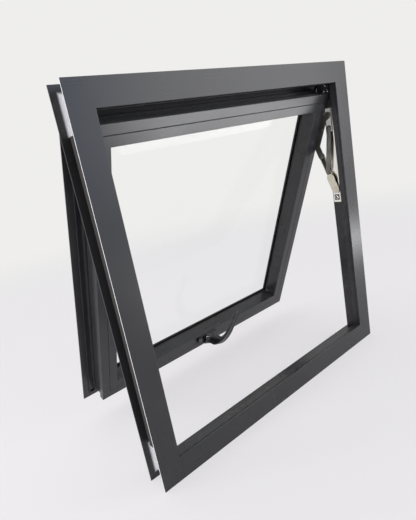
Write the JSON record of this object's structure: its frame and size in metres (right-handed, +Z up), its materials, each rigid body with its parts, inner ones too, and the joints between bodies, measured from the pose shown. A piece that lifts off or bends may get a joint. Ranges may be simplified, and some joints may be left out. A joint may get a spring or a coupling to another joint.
{
  "type": "top hung awning window",
  "caption": "Top hung awning window in a mitred dark aluminium frame, with its glazed sash held open on friction stays and a cam handle on the bottom rail.",
  "frame": {"origin": "back of the wall flange at the middle of the sill, where the flange lies on the wall", "axes": "+X to the right seen from the room, +Y outdoors, +Z up"},
  "size_m": [0.6, 0.2866, 0.6],
  "materials": {
    "frame_coat": "satin powder coat",
    "sash_coat": "satin powder coat",
    "seal": "matt",
    "foam": "matt",
    "glass": "clear",
    "stainless": "brushed",
    "nylon": "matt grey",
    "cap_black": "matt black",
    "handle_black": "gloss black",
    "pivot_steel": "polished"
  },
  "bodies": {
    "window": {"frame_head": "frame_coat", "frame_sill": "frame_coat", "frame_jamb_left": "frame_coat", "frame_jamb_right": "frame_coat", "stop_seal_head": "seal", "stop_seal_sill": "seal", "stop_seal_left": "seal", "stop_seal_right": "seal", "edge_seal_head": "seal", "edge_seal_sill": "seal", "edge_seal_left": "seal", "edge_seal_right": "seal", "channel_foam_left": "foam", "channel_foam_right": "foam", "sash_top_rail": "sash_coat", "sash_bottom_rail": "sash_coat", "sash_stile_left": "sash_coat", "sash_stile_right": "sash_coat", "bead_top": "sash_coat", "bead_bottom": "sash_coat", "bead_left": "sash_coat", "bead_right": "sash_coat", "glazing_seal_top": "seal", "glazing_seal_bottom": "seal", "glazing_seal_left": "seal", "glazing_seal_right": "seal", "glass_pane": "glass", "stay_track_left": "stainless", "stay_track_right": "stainless", "stay_shoe_left": "nylon", "stay_shoe_right": "nylon", "stay_vent_bar_left": "stainless", "stay_vent_bar_right": "stainless", "stay_arm_left": "stainless", "stay_arm_right": "stainless", "stay_link_left": "stainless", "stay_link_right": "stainless", "stay_cap_left": "cap_black", "stay_cap_right": "cap_black", "handle_base": "handle_black"},
    "lever": {"handle_spindle": "pivot_steel", "handle_lever": "handle_black"}
  },
  "joints": [
    {"name": "handle_turn", "type": "hinge", "parent": "window", "child": "lever", "pos_m": [0, 0.22896, 0.06785], "axis": [0, -0.9135, -0.4067], "range_deg": [-69, 21]}
  ]
}
